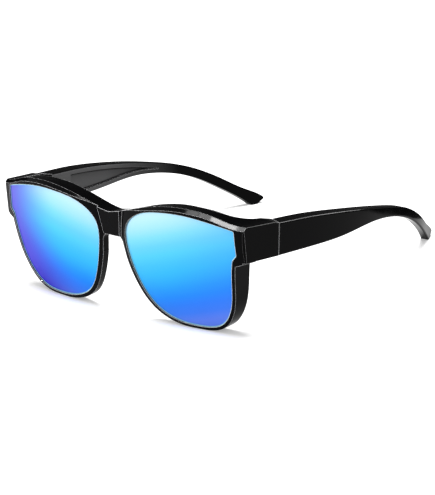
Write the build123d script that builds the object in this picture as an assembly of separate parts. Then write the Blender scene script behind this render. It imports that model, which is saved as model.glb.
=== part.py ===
from build123d import *
import os
from math import cos, radians, sin, sqrt, tan

# Fitover sunglasses, standing open on a table on the rims and the temple tips.
# +X is the wearer's left, -Y is the way the lenses look, +Z is up, and all sizes are millimetres.
# The pieces are drawn with the foremost points of the lenses at y = 0. At the end they move
# together, so that the origin lies on the table under the middle of the pair.
# What follows the temples is drawn with the temples level, then tipped by table_tilt.

# Lenses: the front of each lies on a ball
lens_radius = 122.0
lens_thickness = 1.8
eye_x = 29.8
eye_z = 42.3

# Lens outline as it shows in front
window_nasal_x = 8.6
window_side_inset = 5.7
window_bottom_z = 1.45
window_height = 51.8
window_depth = 13.0
window_corner = 0.9
# Places round the outline: share of the width from the nose, share of the height from below.
# The first is the foot of the step at the temple side, the last is the upper outer corner.
window_curve_shares = [
    (0.968, 0.664), (0.936, 0.434), (0.886, 0.207), (0.774, 0.046), (0.568, 0.000), (0.360, 0.023),
    (0.183, 0.129), (0.069, 0.334), (0.007, 0.562), (0.010, 0.795), (0.157, 0.936), (0.365, 0.990),
    (0.564, 1.000), (0.786, 0.969), (0.992, 0.913),
]
window_step_share = (1.000, 0.703)

# Rim round each lens
rim_nasal = 2.6
rim_side = 1.9
rim_bottom = 1.6
rim_top = 1.5
rim_proud = 0.6
rim_rear_y = 8.85
rim_rear_splay = 9.0
rim_rear_lean = 2.3
lens_seat = 0.8
lens_clearance = 0.05

# Brow bar: its top edge is a spline, as shares of the half width and of the rise
half_width = 74.0
brow_middle_z = 48.05
brow_rise = 7.6
brow_rear_y = 3.2
brow_bevel = 1.6
brow_under_z = 42.8
brow_top_shares = [
    (0.000, 0.000), (0.108, 0.200), (0.216, 0.487), (0.351, 0.790), (0.514, 1.000), (0.635, 1.000),
    (0.757, 0.855), (0.865, 0.560), (0.932, 0.421), (1.000, 0.389), (1.030, 0.385),
]

# Bridge block over the nose
bridge_front_y = 0.8
bridge_lean = 4.2
bridge_half_high = 6.6
bridge_half_low = 4.8
bridge_flank = 1.5
bridge_depth = 3.0
bridge_leg_half = 9.0
nose_arch_z = 37.35
nose_arch_half = 5.5
nose_arch_round = 3.4
nose_arch_foot_half = 7.0
nose_arch_foot_z = 28.75

# Endpieces, the arms that run back to the hinges
table_tilt = 7.1
arm_top_z = 50.45
arm_height = 14.4
arm_inner_round = 17.0
arm_top_slope = 12.0
arm_top_slope_length = 9.0
arm_bottom_slope = 1.8
arm_step_inner_inset = 6.6
arm_step_outer_inset = 3.1
arm_step_inner_drop = 2.5
arm_step_outer_drop = 1.2
arm_step_depth = 10.5
arm_corner_inset = 2.9
arm_corner_y = 6.36
arm_corner_turn = 45.0
arm_round = 0.4

# Gap between endpiece and temple
gap_y = 21.8
gap_skew = 24.0
gap_width = 0.15

# Temples
temple_length = 135.4
temple_drop = 28.5
temple_tuck = 19.8
temple_thickness = 7.8
temple_round = 0.68
# Stations from the gap to the tip: share of the length, of the drop of the top edge, of the
# height, of the inward tuck of the outer face, and of the thickness
temple_station_shares = [
    (0.000, 0.000, 1.000, 0.000, 1.00), (0.157, 0.000, 0.925, -0.090, 1.05),
    (0.307, 0.039, 0.750, -0.126, 0.93), (0.458, 0.109, 0.455, -0.070, 0.81),
    (0.573, 0.186, 0.340, 0.050, 0.73), (0.687, 0.295, 0.335, 0.197, 0.67),
    (0.765, 0.425, 0.345, 0.333, 0.62), (0.846, 0.607, 0.370, 0.530, 0.59),
    (0.925, 0.807, 0.418, 0.773, 0.59), (1.000, 1.000, 0.457, 1.000, 0.59),
]
# The outer face starts ahead of the gap, at the front of the endpiece
arm_front_shares = (-0.203, 0.111)
tip_under_length = 5.2
tip_under_drop = 4.3

# Sunk panel on the inner face of each temple
panel_depth = 1.2
panel_start = 16.0
panel_length = 60.0
panel_margin = 2.2

# Hinges: two leaves whose five knuckles share a screw
pin_standoff = 1.8
pin_drop = 1.8
knuckle_radius = 1.5
knuckle_height = 1.3
knuckle_gap = 0.1
knuckle_count = 5
screw_radius = 0.7
screw_clearance = 0.03
screw_head_radius = 1.25
screw_head_height = 0.6
screw_slot_width = 0.35
screw_slot_depth = 0.25
leaf_thickness = 1.0
leaf_length = 8.0
leaf_clear_of_pin = 1.4
leaf_neck_length = 2.8
leaf_clearance = 0.05

# Reach of the cutting blocks, past anything that they cut
reach = 3 * half_width

out = "parts"
os.makedirs(out, exist_ok=True)

tip_over = Rot(X=-table_tilt)
ball_radius = lens_radius + rim_proud
window_width = half_width - window_side_inset - window_nasal_x
arm_step_inner_x = half_width - arm_step_inner_inset
arm_step_outer_x = half_width - arm_step_outer_inset
arm_corner_x = half_width - arm_corner_inset
arm_bottom_z = arm_top_z - arm_height
arm_inner_x = half_width - temple_thickness
pin_x = arm_inner_x - pin_standoff
pin_y = gap_y + (half_width - pin_x) * tan(radians(gap_skew))
pin_z = arm_top_z - arm_height / 2 - pin_drop
knuckle_pitch = knuckle_height + knuckle_gap
knuckle_low_z = pin_z - (knuckle_count - 1) / 2 * knuckle_pitch - knuckle_height / 2
leaf_height = (knuckle_count - 1) * knuckle_pitch + knuckle_height
front_leaf_y = pin_y - leaf_clear_of_pin - leaf_length
temple_leaf_y = pin_y + leaf_clear_of_pin


def box_between(low, high):
    """A box from its lowest corner to its highest."""
    size = [b - a for a, b in zip(low, high)]
    middle = [(a + b) / 2 for a, b in zip(low, high)]
    return Pos(*middle) * Box(*size)


def prism_along_y(face, start, stop):
    """A prism along Y from a face in the XZ plane."""
    return extrude(Pos(Y=start) * face, dir=(0, 1, 0), amount=stop - start)


def prism_along_z(face):
    """A prism along Z from a face in the XY plane, past anything in height."""
    return extrude(Pos(Z=-reach) * face, dir=(0, 0, 1), amount=2 * reach)


def mirrored(piece):
    """The same piece on the other side of the nose."""
    return mirror(piece, about=Plane.YZ)


def ball(radius):
    """A ball round the centre of the left lens front."""
    return Pos(eye_x, lens_radius, eye_z) * Sphere(radius)


def eye_face(nasal, side, bottom, top, corner):
    """The lens outline in the XZ plane, grown by four margins, with its corners rounded."""
    def place(share):
        x = window_nasal_x - nasal + share[0] * (window_width + nasal + side)
        z = window_bottom_z - bottom + share[1] * (window_height + bottom + top)
        return (x, 0, z)
    curve = [place(share) for share in window_curve_shares]
    step = place(window_step_share)
    face = make_face([Spline(*curve), Line(curve[-1], step), Line(step, curve[0])])
    return fillet(face.vertices(), corner)


def lens_sheet(grow, slack):
    """The space of a lens: its outline grown alike all round, with slack before and behind."""
    outline = prism_along_y(eye_face(grow, grow, grow, grow, window_corner), -reach, window_depth)
    return outline & (ball(lens_radius + slack) - ball(lens_radius - lens_thickness - slack))


def brow_top():
    """Places along the top edge of the brow, temples level."""
    return [(u * half_width, 0, brow_middle_z + v * brow_rise) for u, v in brow_top_shares]


def under_brow(low_edge):
    """The brow in the XZ plane, temples level: under its top edge, closed by lower corners."""
    top = brow_top()
    return make_face([Spline(*top), Polyline(top[-1], *low_edge, top[0])])


def under_bevel():
    """All that lies under the slope along the brow's front edge, temples level."""
    tilt = radians(table_tilt)
    centre_y = lens_radius * cos(tilt) - eye_z * sin(tilt)
    centre_z = lens_radius * sin(tilt) + eye_z * cos(tilt)
    edge = []
    for x, y, z in brow_top():
        beside = max(x - eye_x, 0)
        front_y = centre_y - sqrt(ball_radius**2 - beside**2 - (z - centre_z) ** 2)
        edge.append((x, -reach / 2, z - brow_bevel - front_y - reach / 2))
    low = edge[0][2] - reach
    corners = [edge[-1], (edge[-1][0], -reach / 2, low), (0, -reach / 2, low), edge[0]]
    face = make_face([Spline(*edge), Polyline(*corners)])
    return extrude(face, dir=(0, 1, 1), amount=reach * sqrt(2))


def outer_places():
    """The outer face of endpiece and temple in plan, temples level."""
    ahead, tuck = arm_front_shares
    places = [(half_width - tuck * temple_tuck, gap_y + ahead * temple_length)]
    for station in temple_station_shares:
        places.append((half_width - station[3] * temple_tuck, gap_y + station[0] * temple_length))
    return places


def inside_outer_face():
    """All that lies inside the outer face of the left endpiece and temple, temples level."""
    places = outer_places()
    first, last = places[0], places[-1]
    corners = [last, (last[0], reach), (-reach, reach), (-reach, -reach), (first[0], -reach), first]
    return prism_along_z(make_face([Spline(*places), Polyline(*corners)]))


def behind_gap(offset):
    """All that lies behind the gap's middle plane moved back by an offset, temples level."""
    block = box_between((-reach, offset, -reach), (reach, reach, reach))
    return Pos(half_width, gap_y) * Rot(Z=-gap_skew) * block


def rim():
    """The left rim and half the bridge behind the block, open right through the window."""
    outline = eye_face(rim_nasal, rim_side, rim_bottom, rim_top, window_corner)
    window = eye_face(0, 0, 0, 0, window_corner)
    leg = box_between((0, -reach, nose_arch_foot_z), (bridge_leg_half, reach, brow_middle_z))
    back = Plane(origin=(eye_x, rim_rear_y, eye_z),
                 z_dir=(-tan(radians(rim_rear_splay)), 1, tan(radians(rim_rear_lean))))
    behind = back * box_between((-reach, -reach, 0), (reach, reach, reach))
    return prism_along_y(outline, -reach, reach) + leg - behind - prism_along_y(window, -reach, reach)


def brow_and_arm():
    """The left half of the brow bar with its endpiece, temples level."""
    root_x = eye_x + window_width / 2
    inner_step_z = arm_bottom_z - arm_step_inner_drop
    outer_step_z = arm_bottom_z - arm_step_outer_drop
    end_x = brow_top()[-1][0]
    low_edge = [(end_x, 0, outer_step_z), (arm_step_outer_x, 0, outer_step_z),
                (arm_step_inner_x, 0, inner_step_z), (root_x, 0, inner_step_z), (root_x, 0, brow_under_z),
                (0, 0, brow_under_z)]
    bar = prism_along_y(under_brow(low_edge), -reach, reach) & inside_outer_face()
    inside = Rectangle(2 * arm_inner_x, reach, align=(Align.CENTER, Align.MIN))
    inside = fillet(inside.vertices().sort_by(Axis.Y)[0:2], arm_inner_round)
    bar -= prism_along_z(Pos(Y=brow_rear_y) * inside)
    above = box_between((-half_width, -arm_top_slope_length, 0), (reach, reach, reach))
    bar -= Pos(half_width, gap_y, arm_top_z) * Rot(Z=-gap_skew) * Rot(X=-arm_top_slope) * above
    below_side = box_between((arm_step_outer_x, -reach, -reach), (reach, reach, 0))
    below_rear = box_between((0, arm_step_depth - gap_y, -reach), (reach, reach, 0))
    for below in (below_side, below_rear):
        bar -= Pos(0, gap_y, arm_bottom_z) * Rot(X=arm_bottom_slope) * below
    return bar - behind_gap(-gap_width / 2)


def front_corner():
    """What the slanting edge between front and endpiece takes away."""
    corner = box_between((0, -reach, -reach), (reach, 0, reach))
    return Pos(arm_corner_x, arm_corner_y) * Rot(Z=arm_corner_turn) * corner


def bridge_block():
    """The raised block between the brows, with flanks that widen towards the face."""
    lean = tan(radians(bridge_lean))
    middle_z = (brow_middle_z + nose_arch_z) / 2
    wires = []
    for back, flank in ((0, 0), (bridge_depth, bridge_flank)):
        corners = []
        for side, high in ((-1, 1), (1, 1), (1, 0), (-1, 0)):
            z = brow_middle_z + brow_bevel if high else nose_arch_z
            half = (bridge_half_high if high else bridge_half_low) + flank
            corners.append((side * half, bridge_front_y + back - (z - middle_z) * lean, z))
        wires.append(Wire(Polyline(*corners, close=True).edges()))
    return Solid.make_loft(wires, ruled=True)


def nose_arch():
    """The space of the nose under the bridge."""
    rise = nose_arch_z - nose_arch_foot_z
    low = -bridge_leg_half
    arch = Polygon((-nose_arch_foot_half, low), (nose_arch_foot_half, low), (nose_arch_foot_half, 0),
                   (nose_arch_half, rise), (-nose_arch_half, rise), (-nose_arch_foot_half, 0), align=None)
    arch = fillet(arch.vertices().sort_by(Axis.Y)[-2:], nose_arch_round)
    return extrude(Plane.XZ * Pos(Y=nose_arch_foot_z) * arch, amount=reach, both=True)


def leaf_pocket(low_y):
    """The seat of a hinge leaf in the inner face of endpiece or temple, temples level."""
    low = (arm_inner_x - leaf_thickness, low_y - leaf_clearance, knuckle_low_z - leaf_clearance)
    high = (arm_inner_x + leaf_thickness, low_y + leaf_length + leaf_clearance,
            knuckle_low_z + leaf_height + leaf_clearance)
    return box_between(low, high)


def front_half():
    """The left half of the front frame."""
    end_x = brow_top()[-1][0]
    sky = prism_along_y(under_brow([(end_x, 0, -reach), (0, 0, -reach)]), -reach, reach)
    half = rim() + tip_over * brow_and_arm()
    half &= ball(ball_radius)
    half &= tip_over * under_bevel()
    half -= front_corner()
    side_edges = half.faces().sort_by(Axis.X)[-1].edges().sort_by(SortBy.LENGTH)[-2:]
    half = fillet(side_edges, arm_round)
    half += bridge_block() & box_between((0, -reach, 0), (reach, reach, reach))
    half &= tip_over * sky
    half -= nose_arch()
    half -= prism_along_y(eye_face(0, 0, 0, 0, window_corner), -reach, window_depth)
    half -= lens_sheet(lens_seat + lens_clearance, lens_clearance)
    half -= tip_over * leaf_pocket(front_leaf_y)
    return half & above_table()


def above_table():
    """All that is above the table, so that what rests on it gets a flat."""
    return box_between((-reach, -reach, 0), (reach, reach, reach))


def temple_lines():
    """The top edge, bottom edge and inner face of the left temple, temples level."""
    top, bottom, inner = [], [], []
    for along, drop, height, tuck, thickness in temple_station_shares:
        y = gap_y + along * temple_length
        z = arm_top_z - drop * temple_drop
        top.append((0, y, z))
        bottom.append((0, y, z - height * arm_height))
        inner.append((half_width - tuck * temple_tuck - thickness * temple_thickness, y))
    bottom[-1] = (0, bottom[-1][1] - tip_under_length, top[-1][2] - tip_under_drop)
    return top, bottom, inner


def temple_side():
    """The left temple as it shows from the side, temples level, drawn on past the gap."""
    top, bottom, inner = temple_lines()
    ahead = gap_y - 2 * temple_thickness
    return make_face([
        Line((0, ahead, arm_top_z), top[0]), Spline(*top, tangents=[(0, 1, 0), (0, 1, -1)]),
        Line(top[-1], bottom[-1]), Spline(*reversed(bottom)),
        Polyline(bottom[0], (0, ahead, arm_bottom_z), (0, ahead, arm_top_z)),
    ])


def temple_panel():
    """The space of the sunk panel in the inner face of the left temple, temples level."""
    top, bottom, inner = temple_lines()
    shallow = [(x - panel_depth, y) for x, y in inner]
    deep = [(x + panel_depth, y) for x, y in inner]
    strip = make_face([Spline(*shallow), Line(shallow[-1], deep[-1]), Spline(*reversed(deep)),
                       Line(deep[0], shallow[0])])
    low_y = gap_y + panel_start
    panel = box_between((0, low_y, -reach), (reach, low_y + panel_length, reach)) & prism_along_z(strip)
    for lift in (-panel_margin, panel_margin):
        panel &= extrude(Pos(Z=lift) * temple_side(), dir=(1, 0, 0), amount=reach)
    return panel


def temple():
    """The left temple: its side view crossed with its plan."""
    top, bottom, inner = temple_lines()
    outer = outer_places()
    plan = make_face([
        Spline(*outer), Line(outer[-1], inner[-1]), Spline(*reversed(inner)),
        Polyline(inner[0], (inner[0][0], outer[0][1]), outer[0]),
    ])
    arm = extrude(temple_side(), dir=(1, 0, 0), amount=reach) & prism_along_z(plan)
    arm &= behind_gap(gap_width / 2)
    long_edges = arm.edges().sort_by(SortBy.LENGTH)[-4:]
    tip_edges = arm.faces().sort_by(Axis.Y)[-1].edges()
    arm = fillet(long_edges + tip_edges, temple_round)
    arm -= temple_panel()
    arm -= leaf_pocket(temple_leaf_y)
    return tip_over * arm & above_table()


def hinge_leaf(plate_y, neck_y, levels):
    """A hinge leaf with knuckles at some levels, on the side of the pin where its neck lies."""
    leaf = box_between((arm_inner_x, plate_y, knuckle_low_z),
                       (arm_inner_x + leaf_thickness, plate_y + leaf_length, knuckle_low_z + leaf_height))
    bore = Cylinder(screw_radius + screw_clearance, reach)
    side = 1 if neck_y > pin_y else -1
    clear_y = pin_y + side * leaf_clear_of_pin
    for level in levels:
        z = knuckle_low_z + level * knuckle_pitch
        top_z = z + knuckle_height
        leaf += Pos(pin_x, pin_y, (z + top_z) / 2) * Cylinder(knuckle_radius, knuckle_height)
        leaf += box_between((pin_x - screw_head_radius, min(pin_y, neck_y), z),
                            (pin_x + screw_head_radius, max(pin_y, neck_y), top_z))
        leaf += box_between((pin_x, min(clear_y, neck_y), z), (arm_inner_x, max(clear_y, neck_y), top_z))
    return tip_over * (leaf - Pos(pin_x, pin_y, pin_z) * bore)


def front_leaf():
    """The left hinge leaf in the endpiece."""
    return hinge_leaf(front_leaf_y, pin_y - leaf_neck_length, range(0, knuckle_count, 2))


def temple_leaf():
    """The left hinge leaf in the temple."""
    return hinge_leaf(temple_leaf_y, pin_y + leaf_neck_length, range(1, knuckle_count, 2))


def hinge_screw():
    """The left hinge screw, with its slotted head on the top knuckle."""
    top_z = knuckle_low_z + leaf_height
    shank = Pos(pin_x, pin_y, pin_z) * Cylinder(screw_radius, leaf_height)
    head = Pos(pin_x, pin_y, top_z + screw_head_height / 2) * Cylinder(screw_head_radius, screw_head_height)
    slot_z = top_z + screw_head_height - screw_slot_depth / 2
    slot = Pos(pin_x, pin_y, slot_z) * Box(2 * screw_head_radius, screw_slot_width, screw_slot_depth)
    return tip_over * (shank + head - slot)


pieces = {}
half = front_half()
pieces["front_frame"] = half + mirrored(half)
left_pieces = {
    "lens": lens_sheet(lens_seat, 0), "temple": temple(), "hinge_front_leaf": front_leaf(),
    "hinge_temple_leaf": temple_leaf(), "hinge_screw": hinge_screw(),
}
for name, piece in left_pieces.items():
    pieces[f"{name}_left"] = piece
    pieces[f"{name}_right"] = mirrored(piece)

# Move the pair so that the middle of its depth is at y = 0
boxes = [piece.bounding_box() for piece in pieces.values()]
middle_y = (min(box.min.Y for box in boxes) + max(box.max.Y for box in boxes)) / 2
for name, piece in pieces.items():
    piece = Pos(Y=-middle_y) * piece
    pieces[name] = piece
    export_step(piece, f"{out}/{name}.step")
    print(name, piece.is_valid, len(piece.solids()), round(piece.volume, 1))

pin = tip_over * Pos(pin_x, pin_y, pin_z)
print("middle_y", middle_y)
print("left pin", pin.position.X, pin.position.Y - middle_y, pin.position.Z)
print("pin axis", 0, sin(radians(table_tilt)), cos(radians(table_tilt)))
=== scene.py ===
import logging
from dataclasses import dataclass
from enum import Enum
from math import cos, radians, sin

import bmesh
import bpy
from mathutils import Matrix, Vector


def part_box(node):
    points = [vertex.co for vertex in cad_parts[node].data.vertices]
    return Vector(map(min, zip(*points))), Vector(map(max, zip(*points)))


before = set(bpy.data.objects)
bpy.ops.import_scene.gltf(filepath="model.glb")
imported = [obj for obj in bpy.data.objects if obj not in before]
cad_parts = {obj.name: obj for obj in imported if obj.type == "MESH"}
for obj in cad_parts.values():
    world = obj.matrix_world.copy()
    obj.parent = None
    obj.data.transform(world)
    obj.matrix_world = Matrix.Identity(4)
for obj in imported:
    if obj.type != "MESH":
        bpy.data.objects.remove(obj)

# Looks of the fitover sunglasses, and the view of them from the photograph's side.
# Sizes are named in millimetres and turned to metres with MM.

log = logging.getLogger("fitover")
MM = 0.001

# Socket numbers of the Mix node, which has a pair of inputs for each kind of value
FACTOR = 0
NUMBER_A, NUMBER_B = 2, 3
COLOUR_A, COLOUR_B = 6, 7
MIXED_NUMBER, MIXED_COLOUR = 0, 2

# Rays sent out by a Bevel or Ambient Occlusion node
PROBE_RAYS = 8


class Side(Enum):
    """The wearer's side, with the sign of its X."""

    LEFT = 1
    RIGHT = -1

    def node(self, name: str) -> str:
        """Return the name of this side's CAD node."""
        return f"{name}_{self.name.lower()}"


def paint(hex_code: str) -> tuple[float, float, float, float]:
    """Turn an sRGB hex colour into the linear colour that a socket takes.

    Args:
        hex_code: The colour as #rrggbb.

    Returns:
        Linear red, green and blue, with an alpha of 1.
    """
    shares = [int(hex_code[i:i + 2], 16) / 255 for i in (1, 3, 5)]
    linear = [c / 12.92 if c <= 0.04045 else ((c + 0.055) / 1.055) ** 2.4 for c in shares]
    return (*linear, 1.0)


def per_metre(size_mm: float) -> float:
    """Return a texture scale on Object coordinates whose cells have a size in millimetres."""
    return 1.0 / (size_mm * MM)


def add_node(tree: bpy.types.NodeTree, kind: str, settings: dict | None = None,
             inputs: dict | None = None) -> bpy.types.Node:
    """Add a shader node, set its properties, and fill or link its inputs.

    Args:
        tree: The node tree that gets the node.
        kind: The node's type.
        settings: Properties of the node by name.
        inputs: Values, or output sockets to link from, by input name or number.

    Returns:
        The new node.
    """
    node = tree.nodes.new(kind)
    for name, value in (settings or {}).items():
        setattr(node, name, value)
    for key, value in (inputs or {}).items():
        if isinstance(value, bpy.types.NodeSocket):
            tree.links.new(value, node.inputs[key])
        else:
            node.inputs[key].default_value = value
    return node


def new_material(name: str) -> tuple[bpy.types.Material, bpy.types.NodeTree]:
    """Make an empty material that uses nodes.

    Args:
        name: The material's name.

    Returns:
        The material and its cleared node tree.
    """
    material = bpy.data.materials.new(name)
    material.use_nodes = True
    material.node_tree.nodes.clear()
    return material, material.node_tree


def finish_surface(tree: bpy.types.NodeTree, shader: bpy.types.NodeSocket) -> None:
    """Link a shader to the material's surface output.

    Args:
        tree: The material's node tree.
        shader: The shader's output socket.
    """
    add_node(tree, "ShaderNodeOutputMaterial", inputs={"Surface": shader})


def flat_sheet(name: str, size_mm: tuple[float, float]) -> bpy.types.Object:
    """Make a level rectangle round the origin and put it in the scene.

    Args:
        name: The name of the object and of its mesh.
        size_mm: Its lengths along X and Y.

    Returns:
        The rectangle.
    """
    shape = bmesh.new()
    bmesh.ops.create_grid(shape, x_segments=1, y_segments=1, size=MM / 2)
    bmesh.ops.scale(shape, vec=(*size_mm, 1.0), verts=shape.verts)
    mesh = bpy.data.meshes.new(name)
    shape.to_mesh(mesh)
    shape.free()
    sheet = bpy.data.objects.new(name, mesh)
    bpy.context.scene.collection.objects.link(sheet)
    return sheet


def dress(node_name: str, material: bpy.types.Material) -> None:
    """Give a CAD node one material in place of its packed one.

    Args:
        node_name: The CAD node's name.
        material: The material that it gets.
    """
    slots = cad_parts[node_name].material_slots
    if not slots:
        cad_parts[node_name].data.materials.append(material)
    for slot in slots:
        slot.material = material
    log.info("%s wears %s", node_name, material.name)


@dataclass(frozen=True)
class Surface:
    """The sockets that a finish gives to its shader."""

    colour: bpy.types.NodeSocket
    roughness: bpy.types.NodeSocket
    normal: bpy.types.NodeSocket


@dataclass(frozen=True)
class SparkedFace:
    """The inner face of a temple: the mould was spark eroded there, so it is a matte dark grey.

    The real grain is about 0.05 mm and is drawn coarser, so that it shows. The corners of the
    sunk panel get painted shade, and the grey fades out before the ear bend.
    """

    body: str = "#7e7e7f"
    roughness: float = 0.55
    grain_mm: float = 0.35
    grain_detail: float = 2.0
    grain_depth_mm: float = 0.03
    # How squarely a face looks inwards where the matte starts and where it is full
    inward_shares: tuple[float, float] = (0.8, 0.88)
    ends_mm: float = 88.0
    fades_mm: float = 45.0
    # Painted shade in the corners of the sunk panel
    painted_corner_shade: str = "#0c0c0c"
    corner_reach_mm: float = 1.2
    # How open a spot is where the painted corner shade starts and where it is full
    corner_open_shares: tuple[float, float] = (0.95, 0.7)

    def mask(self, tree: bpy.types.NodeTree, side: Side,
             place: bpy.types.NodeSocket) -> bpy.types.NodeSocket:
        """Find the matte face.

        Args:
            tree: The material's node tree.
            side: The temple's side.
            place: Object coordinates.

        Returns:
            A share that is 1 on the matte face.
        """
        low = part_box(side.node("temple"))[0]
        facing = add_node(tree, "ShaderNodeTexCoord").outputs["Normal"]
        inward = add_node(tree, "ShaderNodeVectorMath", {"operation": "DOT_PRODUCT"},
                          {0: facing, 1: (-side.value, 0.0, 0.0)})
        on_face = add_node(tree, "ShaderNodeMapRange", inputs={
            "Value": inward.outputs["Value"],
            "From Min": self.inward_shares[0], "From Max": self.inward_shares[1]})
        along = add_node(tree, "ShaderNodeSeparateXYZ", inputs={0: place}).outputs["Y"]
        before_end = add_node(tree, "ShaderNodeMapRange", inputs={
            "Value": along, "From Min": low.y + self.ends_mm * MM,
            "From Max": low.y + (self.ends_mm - self.fades_mm) * MM})
        return add_node(tree, "ShaderNodeMath", {"operation": "MULTIPLY"},
                        {0: on_face.outputs[0], 1: before_end.outputs[0]}).outputs[0]

    def with_painted_corner_shade(self, tree: bpy.types.NodeTree) -> bpy.types.NodeSocket:
        """Paint shade into the corners of its panel.

        Args:
            tree: The material's node tree.

        Returns:
            The matte face's colour, with its painted corner shade.
        """
        openness = add_node(tree, "ShaderNodeAmbientOcclusion", {"samples": PROBE_RAYS},
                            {"Distance": self.corner_reach_mm * MM})
        corner_shade_share = add_node(tree, "ShaderNodeMapRange", inputs={
            "Value": openness.outputs["AO"],
            "From Min": self.corner_open_shares[0], "From Max": self.corner_open_shares[1]})
        return add_node(tree, "ShaderNodeMix", {"data_type": "RGBA"}, {
            FACTOR: corner_shade_share.outputs[0], COLOUR_A: paint(self.body),
            COLOUR_B: paint(self.painted_corner_shade)}).outputs[MIXED_COLOUR]

    def lay_over(self, tree: bpy.types.NodeTree, side: Side, place: bpy.types.NodeSocket,
                 under: Surface) -> Surface:
        """Lay the matte face over another finish.

        Args:
            tree: The material's node tree.
            side: The temple's side.
            place: Object coordinates.
            under: The other finish.

        Returns:
            The finish with the matte face laid over it.
        """
        mask = self.mask(tree, side, place)
        grain = add_node(tree, "ShaderNodeTexNoise", inputs={
            "Vector": place, "Scale": per_metre(self.grain_mm), "Detail": self.grain_detail})
        depth = add_node(tree, "ShaderNodeMath", {"operation": "MULTIPLY"},
                         {0: grain.outputs["Fac"], 1: mask})
        relief = add_node(tree, "ShaderNodeBump", inputs={
            "Height": depth.outputs[0], "Distance": self.grain_depth_mm * MM,
            "Normal": under.normal})
        colour = add_node(tree, "ShaderNodeMix", {"data_type": "RGBA"}, {
            FACTOR: mask, COLOUR_A: under.colour, COLOUR_B: self.with_painted_corner_shade(tree)})
        roughness = add_node(tree, "ShaderNodeMix", inputs={
            FACTOR: mask, NUMBER_A: under.roughness, NUMBER_B: self.roughness})
        return Surface(colour.outputs[MIXED_COLOUR], roughness.outputs[MIXED_NUMBER],
                       relief.outputs[0])


@dataclass(frozen=True)
class PolishedNylon:
    """Injection-moulded nylon from a polished mould: near black, with a clear sharp sheen.

    Its moulded edges are painted paler than the faces, a painted highlight along them.
    """

    body: str = "#060607"
    # Painted highlight along the moulded edges: its colour and how strongly it shows
    painted_edge_highlight: str = "#f0f0f2"
    painted_edge_highlight_share: float = 0.95
    edge_round_mm: float = 0.35
    # Cosines of the rounded normal's lean where the painted edge highlight starts and where it is
    # full
    edge_leans: tuple[float, float] = (0.985, 0.9)
    index: float = 1.53
    sheen: float = 0.026
    roughness: tuple[float, float] = (0.07, 0.13)
    flow_mark_mm: float = 9.0
    flow_detail: float = 3.0
    flow_shares: tuple[float, float] = (0.35, 0.65)
    ripple_mm: float = 2.4
    ripple_detail: float = 1.0
    ripple_depth_mm: float = 0.002

    def edges(self, tree: bpy.types.NodeTree) -> tuple[bpy.types.NodeSocket, bpy.types.NodeSocket]:
        """Find the moulded edges.

        Args:
            tree: The material's node tree.

        Returns:
            A normal that is rounded at the edges, and how far they show their painted highlight.
        """
        rounded = add_node(tree, "ShaderNodeBevel", {"samples": PROBE_RAYS},
                           {"Radius": self.edge_round_mm * MM}).outputs[0]
        plain = add_node(tree, "ShaderNodeNewGeometry")
        closeness = add_node(tree, "ShaderNodeVectorMath", {"operation": "DOT_PRODUCT"},
                             {0: rounded, 1: plain.outputs["Normal"]})
        share = add_node(tree, "ShaderNodeMapRange", inputs={
            "Value": closeness.outputs["Value"],
            "From Min": self.edge_leans[0], "From Max": self.edge_leans[1],
            "To Max": self.painted_edge_highlight_share})
        return rounded, share.outputs[0]

    def moulded(self, tree: bpy.types.NodeTree, place: bpy.types.NodeSocket) -> Surface:
        """Build the bare moulded finish.

        Args:
            tree: The material's node tree.
            place: Object coordinates.

        Returns:
            The finish, with its flow marks, ripple and the painted highlight on its edges.
        """
        normal, painted_edge_highlight = self.edges(tree)
        colour = add_node(tree, "ShaderNodeMix", {"data_type": "RGBA"}, {
            FACTOR: painted_edge_highlight, COLOUR_A: paint(self.body), COLOUR_B: paint(self.painted_edge_highlight)})
        flow = add_node(tree, "ShaderNodeTexNoise", inputs={
            "Vector": place, "Scale": per_metre(self.flow_mark_mm), "Detail": self.flow_detail})
        roughness = add_node(tree, "ShaderNodeMapRange", inputs={
            "Value": flow.outputs["Fac"],
            "From Min": self.flow_shares[0], "From Max": self.flow_shares[1],
            "To Min": self.roughness[0], "To Max": self.roughness[1]})
        ripple = add_node(tree, "ShaderNodeTexNoise", inputs={
            "Vector": place, "Scale": per_metre(self.ripple_mm), "Detail": self.ripple_detail})
        relief = add_node(tree, "ShaderNodeBump", inputs={
            "Height": ripple.outputs["Fac"], "Distance": self.ripple_depth_mm * MM,
            "Normal": normal})
        return Surface(colour.outputs[MIXED_COLOUR], roughness.outputs[0], relief.outputs[0])

    def material(self, name: str, inner_face: SparkedFace | None = None,
                 side: Side | None = None) -> bpy.types.Material:
        """Build the plastic, with a matte inner face where one is given.

        Args:
            name: The material's name.
            inner_face: The inner face's finish, or None.
            side: The side of the temple that has the inner face.

        Returns:
            The material.
        """
        material, tree = new_material(name)
        place = add_node(tree, "ShaderNodeTexCoord").outputs["Object"]
        surface = self.moulded(tree, place)
        if inner_face is not None:
            surface = inner_face.lay_over(tree, side, place, surface)
        shader = add_node(tree, "ShaderNodeBsdfPrincipled", inputs={
            "Base Color": surface.colour, "Roughness": surface.roughness,
            "Normal": surface.normal, "IOR": self.index, "Specular IOR Level": self.sheen})
        finish_surface(tree, shader.outputs[0])
        return material


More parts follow.
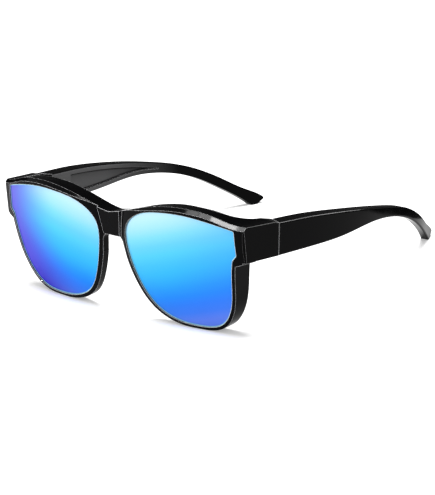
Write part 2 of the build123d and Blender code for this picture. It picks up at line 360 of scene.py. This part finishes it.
@dataclass(frozen=True)
class MirrorCoat:
    """A blue mirror coat, vacuum deposited on a dark lens.

    The coat thins from the inner top to the lower outer corner, from a pale cyan through blue to
    violet;
    the pale inner top is partly a painted highlight and the violet outer edge a painted
    reflection. The back of the lens is the bare smoke tint.
    """

    # Colours along the fade, from the lower outer corner to the inner top; the palest are a
    # painted highlight over the coat's blue
    coat_and_highlight_fade: tuple[str, ...] = (
        "#6890ff", "#4588ff", "#3686fd", "#2a8efd", "#2c9bfc", "#33abfd", "#3bb7fd",
        "#47befd", "#55c9fd", "#67cbfc", "#7fd6fe", "#9fddfe", "#b4e4ff", "#c8e8fe")
    fade_low_mm: float = -8.0
    fade_high_mm: float = 46.0
    fade_slope: float = 0.28
    # Painted violet reflection along the outer edge, at the lens's foot and at its top
    band_low: str = "#3830d2"
    band_high: str = "#6d6bdc"
    band_starts_mm: float = 33.0
    band_ends_mm: float = 69.0
    # Below this height the band widens towards the nose
    band_turn_mm: float = 36.0
    band_slope: float = 0.4
    # Painted highlight along the rim's lip
    painted_lip_highlight: str = "#a9eafc"
    lip_reach_mm: float = 0.55
    # How open a spot is where the painted lip highlight starts and where it is full
    lip_open_shares: tuple[float, float] = (0.97, 0.75)
    smoke: str = "#1c2024"
    # How squarely a face looks ahead where the coat starts and where it is full
    ahead_shares: tuple[float, float] = (0.1, 0.3)
    index: float = 1.5
    sheen: float = 0.0
    metallic: float = 0.2
    roughness: float = 0.2

    def material(self, side: Side, band_share: float) -> bpy.types.Material:
        """Build the coat for one lens.

        Args:
            side: The lens's side.
            band_share: How strongly the outer edge turns violet, from 0 to 1.

        Returns:
            The material.
        """
        material, tree = new_material(f"blue_mirror_coat_{side.name.lower()}")
        coords = add_node(tree, "ShaderNodeTexCoord")
        place = add_node(tree, "ShaderNodeSeparateXYZ", inputs={0: coords.outputs["Object"]})
        outward = add_node(tree, "ShaderNodeMath", {"operation": "MULTIPLY"},
                           {0: place.outputs["X"], 1: float(side.value)}).outputs[0]
        colour = self.faded(tree, outward, place.outputs["Z"])
        colour = self.banded(tree, outward, place.outputs["Z"], colour, band_share)
        colour = self.with_painted_lip_highlight(tree, colour)
        ahead = add_node(tree, "ShaderNodeVectorMath", {"operation": "DOT_PRODUCT"},
                         {0: coords.outputs["Normal"], 1: (0.0, -1.0, 0.0)})
        coated = add_node(tree, "ShaderNodeMapRange", inputs={
            "Value": ahead.outputs["Value"],
            "From Min": self.ahead_shares[0], "From Max": self.ahead_shares[1]}).outputs[0]
        colour = add_node(tree, "ShaderNodeMix", {"data_type": "RGBA"}, {
            FACTOR: coated, COLOUR_A: paint(self.smoke), COLOUR_B: colour}).outputs[MIXED_COLOUR]
        metal = add_node(tree, "ShaderNodeMath", {"operation": "MULTIPLY"},
                         {0: coated, 1: self.metallic}).outputs[0]
        shader = add_node(tree, "ShaderNodeBsdfPrincipled", inputs={
            "Base Color": colour, "Metallic": metal, "Roughness": self.roughness,
            "IOR": self.index, "Specular IOR Level": self.sheen})
        finish_surface(tree, shader.outputs[0])
        return material

    def faded(self, tree: bpy.types.NodeTree, outward: bpy.types.NodeSocket,
              up: bpy.types.NodeSocket) -> bpy.types.NodeSocket:
        """Lay the fade over the lens: the coat's blue, with a painted highlight that pales it
        towards the inner top.

        Args:
            tree: The material's node tree.
            outward: Distance from the nose, in metres.
            up: Height, in metres.

        Returns:
            The fade's colour.
        """
        drop = add_node(tree, "ShaderNodeMath", {"operation": "MULTIPLY"},
                        {0: outward, 1: self.fade_slope}).outputs[0]
        along = add_node(tree, "ShaderNodeMath", {"operation": "SUBTRACT"},
                         {0: up, 1: drop}).outputs[0]
        share = add_node(tree, "ShaderNodeMapRange", inputs={
            "Value": along, "From Min": self.fade_low_mm * MM, "From Max": self.fade_high_mm * MM})
        ramp = add_node(tree, "ShaderNodeValToRGB", inputs={0: share.outputs[0]})
        stops = ramp.color_ramp.elements
        while len(stops) < len(self.coat_and_highlight_fade):
            stops.new(1.0)
        for index, hex_code in enumerate(self.coat_and_highlight_fade):
            stops[index].position = index / (len(self.coat_and_highlight_fade) - 1)
            stops[index].color = paint(hex_code)
        return ramp.outputs[0]

    def banded(self, tree: bpy.types.NodeTree, outward: bpy.types.NodeSocket,
               up: bpy.types.NodeSocket, colour: bpy.types.NodeSocket,
               band_share: float) -> bpy.types.NodeSocket:
        """Paint a violet reflection on the outer edge of the lens.

        Args:
            tree: The material's node tree.
            outward: Distance from the nose, in metres.
            up: Height, in metres.
            colour: The colour under the band.
            band_share: How strong the band is, from 0 to 1.

        Returns:
            The colour with its band.
        """
        below = add_node(tree, "ShaderNodeMath", {"operation": "SUBTRACT"},
                         {0: self.band_turn_mm * MM, 1: up}).outputs[0]
        below = add_node(tree, "ShaderNodeMath", {"operation": "MAXIMUM"},
                         {0: below, 1: 0.0}).outputs[0]
        reach = add_node(tree, "ShaderNodeMath", {"operation": "MULTIPLY_ADD"},
                         {0: below, 1: self.band_slope, 2: outward}).outputs[0]
        share = add_node(tree, "ShaderNodeMapRange", {"interpolation_type": "SMOOTHSTEP"}, {
            "Value": reach, "From Min": self.band_starts_mm * MM,
            "From Max": self.band_ends_mm * MM, "To Max": band_share}).outputs[0]
        height = add_node(tree, "ShaderNodeMapRange", inputs={
            "Value": up, "From Max": self.fade_high_mm * MM}).outputs[0]
        violet = add_node(tree, "ShaderNodeMix", {"data_type": "RGBA"}, {
            FACTOR: height, COLOUR_A: paint(self.band_low), COLOUR_B: paint(self.band_high)})
        return add_node(tree, "ShaderNodeMix", {"data_type": "RGBA"}, {
            FACTOR: share, COLOUR_A: colour,
            COLOUR_B: violet.outputs[MIXED_COLOUR]}).outputs[MIXED_COLOUR]

    def with_painted_lip_highlight(self, tree: bpy.types.NodeTree,
              colour: bpy.types.NodeSocket) -> bpy.types.NodeSocket:
        """Paint a pale highlight on the coat along the rim's lip.

        Args:
            tree: The material's node tree.
            colour: The colour under the highlight.

        Returns:
            The colour with its painted highlight.
        """
        openness = add_node(tree, "ShaderNodeAmbientOcclusion", {"samples": PROBE_RAYS},
                            {"Distance": self.lip_reach_mm * MM})
        lip_highlight_share = add_node(tree, "ShaderNodeMapRange", inputs={
            "Value": openness.outputs["AO"],
            "From Min": self.lip_open_shares[0], "From Max": self.lip_open_shares[1]})
        return add_node(tree, "ShaderNodeMix", {"data_type": "RGBA"}, {
            FACTOR: lip_highlight_share.outputs[0], COLOUR_A: colour,
            COLOUR_B: paint(self.painted_lip_highlight)}).outputs[MIXED_COLOUR]


@dataclass(frozen=True)
class NickelledSteel:
    """Pressed and turned steel with a nickel plate: warm grey, softly brushed along its height."""

    body: str = "#b9b6b0"
    worn: str = "#8f8c88"
    roughness: tuple[float, float] = (0.24, 0.4)
    brush_mm: float = 0.25
    brush_detail: float = 2.0
    brush_stretch: float = 0.08
    brush_shares: tuple[float, float] = (0.3, 0.7)
    brush_depth_mm: float = 0.01

    def material(self) -> bpy.types.Material:
        """Build the steel and return it."""
        material, tree = new_material("nickelled_steel")
        place = add_node(tree, "ShaderNodeTexCoord").outputs["Object"]
        along = add_node(tree, "ShaderNodeMapping", inputs={
            "Vector": place, "Scale": (1.0, 1.0, self.brush_stretch)}).outputs[0]
        brush = add_node(tree, "ShaderNodeTexNoise", inputs={
            "Vector": along, "Scale": per_metre(self.brush_mm),
            "Detail": self.brush_detail}).outputs["Fac"]
        roughness = add_node(tree, "ShaderNodeMapRange", inputs={
            "Value": brush, "From Min": self.brush_shares[0], "From Max": self.brush_shares[1],
            "To Min": self.roughness[0], "To Max": self.roughness[1]}).outputs[0]
        colour = add_node(tree, "ShaderNodeMix", {"data_type": "RGBA"}, {
            FACTOR: brush, COLOUR_A: paint(self.body),
            COLOUR_B: paint(self.worn)}).outputs[MIXED_COLOUR]
        relief = add_node(tree, "ShaderNodeBump", inputs={
            "Height": brush, "Distance": self.brush_depth_mm * MM}).outputs[0]
        shader = add_node(tree, "ShaderNodeBsdfPrincipled", inputs={
            "Base Color": colour, "Metallic": 1.0, "Roughness": roughness, "Normal": relief})
        finish_surface(tree, shader.outputs[0])
        return material


@dataclass
class FrontFrame:
    """The front moulding: both rims, the brow, the bridge block and the endpieces."""

    finish: PolishedNylon

    def dress(self) -> None:
        """Give the moulding its finish."""
        dress("front_frame", self.finish.material("polished_nylon_front"))


@dataclass
class LensPair:
    """The two mirror lenses. The right one shows more of the painted violet reflection at its
    outer edge.
    """

    coat: MirrorCoat
    left_band_share: float = 0.1
    right_band_share: float = 1.0

    def dress(self) -> None:
        """Give each lens its coat."""
        dress("lens_left", self.coat.material(Side.LEFT, self.left_band_share))
        dress("lens_right", self.coat.material(Side.RIGHT, self.right_band_share))


@dataclass
class Temple:
    """One temple, glossy outside and matte on its inner face."""

    side: Side
    finish: PolishedNylon
    inner_face: SparkedFace

    def dress(self) -> None:
        """Give the temple its two finishes."""
        name = self.side.node("polished_nylon_temple")
        dress(self.side.node("temple"), self.finish.material(name, self.inner_face, self.side))


@dataclass
class Hinge:
    """One hinge: two leaves and their screw."""

    side: Side

    def dress(self, steel: bpy.types.Material) -> None:
        """Give the hinge's pieces the steel.

        Args:
            steel: The nickelled steel.
        """
        for name in ("hinge_front_leaf", "hinge_temple_leaf", "hinge_screw"):
            dress(self.side.node(name), steel)


class LampUse(Enum):
    """What a lamp lights."""

    OBJECT = "the sunglasses"
    GLINTS = "the sheen of the front and the temples"
    NEAR_GLINTS = "the sheen of the front and of the left temple"
    TABLE = "the table"


# How the names of the CAD nodes start that lamps of each use light
LIT_NAMES = {
    LampUse.OBJECT: ("front_frame", "temple", "lens", "hinge"),
    LampUse.GLINTS: ("front_frame", "temple"),
    LampUse.NEAR_GLINTS: ("front_frame", "temple_left"),
    LampUse.TABLE: (),
}


@dataclass(frozen=True)
class Lamp:
    """A rectangular studio lamp."""

    name: str
    place_mm: tuple[float, float, float]
    aim_mm: tuple[float, float, float]
    size_mm: tuple[float, float]
    watts: float
    use: LampUse = LampUse.OBJECT

    def build(self, lit: dict[LampUse, bpy.types.Collection]) -> None:
        """Put the lamp in the studio.

        Args:
            lit: What a lamp of each use lights.
        """
        data = bpy.data.lights.new(self.name, "AREA")
        data.shape = "RECTANGLE"
        data.size, data.size_y = (length * MM for length in self.size_mm)
        data.energy = self.watts
        lamp = bpy.data.objects.new(self.name, data)
        bpy.context.scene.collection.objects.link(lamp)
        place, aim = Vector(self.place_mm) * MM, Vector(self.aim_mm) * MM
        turn = (aim - place).to_track_quat("-Z", "Y")
        lamp.matrix_world = Matrix.LocRotScale(place, turn, None)
        lamp.visible_diffuse = self.use not in (LampUse.GLINTS, LampUse.NEAR_GLINTS)
        lamp.light_linking.receiver_collection = lit[self.use]


@dataclass(frozen=True)
class Card:
    """A dark card behind the object that nothing but a sheen shows."""

    name: str
    place_mm: tuple[float, float, float]
    facing: tuple[float, float, float]
    size_mm: tuple[float, float]
    body: str = "#6a6a6a"

    def build(self) -> None:
        """Put the card in the studio."""
        card = flat_sheet(self.name, self.size_mm)
        turn = Vector(self.facing).to_track_quat("Z", "Y")
        card.matrix_world = Matrix.LocRotScale(Vector(self.place_mm) * MM, turn, None)
        card.visible_camera = card.visible_diffuse = card.visible_shadow = False
        material, tree = new_material(self.name)
        matte = add_node(tree, "ShaderNodeBsdfDiffuse", inputs={"Color": paint(self.body)})
        finish_surface(tree, matte.outputs[0])
        card.data.materials.append(material)


@dataclass(frozen=True)
class Studio:
    """A white table in soft even light."""

    table_mm: tuple[float, float] = (6000.0, 6000.0)
    table: str = "#ececec"
    # The table's colour for the light that it throws back at the object
    table_bounce: str = "#6c6c6c"
    table_lift: float = 0.35
    air: str = "#ffffff"
    air_seen: float = 1.0
    air_light: float = 0.5
    # The bridge and brow strips stand in a row, so that their glints join along the near brow
    lamps: tuple[Lamp, ...] = (
        Lamp("top_softbox", (0, -50, 1300), (0, 0, 20), (1000, 1000), 9.5),
        Lamp("front_softbox", (-450, -1300, 300), (0, 0, 20), (900, 500), 13.2),
        Lamp("table_softbox", (0, 0, 2500), (0, 0, 0), (1400, 1400), 88.0, LampUse.TABLE),
        Lamp("bridge_strip", (-295, -201, 900), (-150, 49, 50), (325, 220), 0.9, LampUse.GLINTS),
        Lamp("low_brow_strip", (-120, -303, 900), (25, -53, 50), (184, 220), 7.5, LampUse.GLINTS),
        Lamp("brow_strip", (42, -397, 900), (187, -147, 50), (191, 220), 33.0, LampUse.GLINTS),
        Lamp("far_brow_strip", (-322, -336, 900), (-19, -93, 50), (220, 130), 3.5, LampUse.GLINTS),
        Lamp("edge_softbox", (310, 780, 622), (75, 0, 42), (500, 500), 38.0, LampUse.NEAR_GLINTS),
    )
    cards: tuple[Card, ...] = (
        Card("standing_card", (-980, 1130, 650), (0.65, -0.75, 0), (3000, 1300)),
        Card("lying_card", (100, 900, 1), (0, 0, 1), (3000, 1600)),
    )

    def build(self) -> None:
        """Make the table, the air, the cards and the lamps."""
        lit = self.gather_lit(self.lay_table())
        self.fill_air()
        for card in self.cards:
            card.build()
        for lamp in self.lamps:
            lamp.build(lit)

    def gather_lit(self, table: bpy.types.Object) -> dict[LampUse, bpy.types.Collection]:
        """Gather what a lamp of each use lights.

        Args:
            table: The table top.

        Returns:
            A collection for each use.
        """
        lit = {use: bpy.data.collections.new(use.name.lower()) for use in LampUse}
        for name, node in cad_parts.items():
            for use, starts in LIT_NAMES.items():
                if name.startswith(starts):
                    lit[use].objects.link(node)
        lit[LampUse.TABLE].objects.link(table)
        return lit

    def seen_share(self, tree: bpy.types.NodeTree) -> bpy.types.NodeSocket:
        """Tell the rays that see the background from those that light the object.

        Args:
            tree: The node tree of the table or the air.

        Returns:
            A share that is 1 for camera, glossy and transmission rays.
        """
        path = add_node(tree, "ShaderNodeLightPath")
        either = add_node(tree, "ShaderNodeMath", {"operation": "MAXIMUM"}, {
            0: path.outputs["Is Camera Ray"], 1: path.outputs["Is Glossy Ray"]})
        return add_node(tree, "ShaderNodeMath", {"operation": "MAXIMUM"}, {
            0: either.outputs[0], 1: path.outputs["Is Transmission Ray"]}).outputs[0]

    def lay_table(self) -> bpy.types.Object:
        """Make the white table top, which takes the object's contact shadow, and return it."""
        table = flat_sheet("table_top", self.table_mm)
        material, tree = new_material("white_table")
        seen = self.seen_share(tree)
        colour = add_node(tree, "ShaderNodeMix", {"data_type": "RGBA"}, {
            FACTOR: seen, COLOUR_A: paint(self.table_bounce), COLOUR_B: paint(self.table)})
        matte = add_node(tree, "ShaderNodeBsdfDiffuse",
                         inputs={"Color": colour.outputs[MIXED_COLOUR]})
        lift = add_node(tree, "ShaderNodeMath", {"operation": "MULTIPLY"},
                        {0: seen, 1: self.table_lift})
        glow = add_node(tree, "ShaderNodeEmission", inputs={"Strength": lift.outputs[0]})
        both = add_node(tree, "ShaderNodeAddShader", inputs={
            0: matte.outputs[0], 1: glow.outputs[0]})
        finish_surface(tree, both.outputs[0])
        table.data.materials.append(material)
        return table

    def fill_air(self) -> None:
        """Make the white air round the table."""
        world = bpy.data.worlds.new("studio_air")
        bpy.context.scene.world = world
        world.use_nodes = True
        tree = world.node_tree
        tree.nodes.clear()
        strength = add_node(tree, "ShaderNodeMapRange", inputs={
            "Value": self.seen_share(tree), "To Min": self.air_light, "To Max": self.air_seen})
        air = add_node(tree, "ShaderNodeBackground", inputs={
            "Color": paint(self.air), "Strength": strength.outputs[0]})
        add_node(tree, "ShaderNodeOutputWorld", inputs={"Surface": air.outputs[0]})


@dataclass(frozen=True)
class PhotoCamera:
    """The photograph's camera, from its place round a target on the object."""

    azimuth_deg: float = 43.099
    elevation_deg: float = 18.579
    roll_deg: float = -4.308
    distance_mm: float = 1045.60
    target_mm: tuple[float, float, float] = (-1.645, -9.453, 10.809)
    lens_mm: float = 165.48
    sensor_mm: float = 36.0
    near_mm: float = 50.0
    far_mm: float = 20000.0

    def build(self) -> None:
        """Put the camera in the scene."""
        around, above = radians(self.azimuth_deg), radians(self.elevation_deg)
        back = Vector((sin(around) * cos(above), -cos(around) * cos(above), sin(above)))
        level = Vector((cos(around), sin(around), 0.0))
        right = Matrix.Rotation(radians(self.roll_deg), 3, back) @ level
        turn = Matrix((right, back.cross(right), back)).transposed()
        data = bpy.data.cameras.new("photo_camera")
        data.lens, data.sensor_width = self.lens_mm, self.sensor_mm
        data.clip_start, data.clip_end = self.near_mm * MM, self.far_mm * MM
        camera = bpy.data.objects.new("photo_camera", data)
        bpy.context.scene.collection.objects.link(camera)
        place = (Vector(self.target_mm) + back * self.distance_mm) * MM
        camera.matrix_world = Matrix.Translation(place) @ turn.to_4x4()
        bpy.context.scene.camera = camera


def main() -> None:
    """Dress the sunglasses and set up the studio and the camera."""
    logging.basicConfig(level=logging.INFO, format="%(name)s: %(message)s")
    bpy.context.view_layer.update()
    nylon, inner_face = PolishedNylon(), SparkedFace()
    FrontFrame(nylon).dress()
    LensPair(MirrorCoat()).dress()
    steel = NickelledSteel().material()
    for side in Side:
        Temple(side, nylon, inner_face).dress()
        Hinge(side).dress(steel)
    PhotoCamera().build()
    Studio().build()
    bpy.context.scene.view_settings.view_transform = "Standard"


if __name__ == "__main__":
    main()
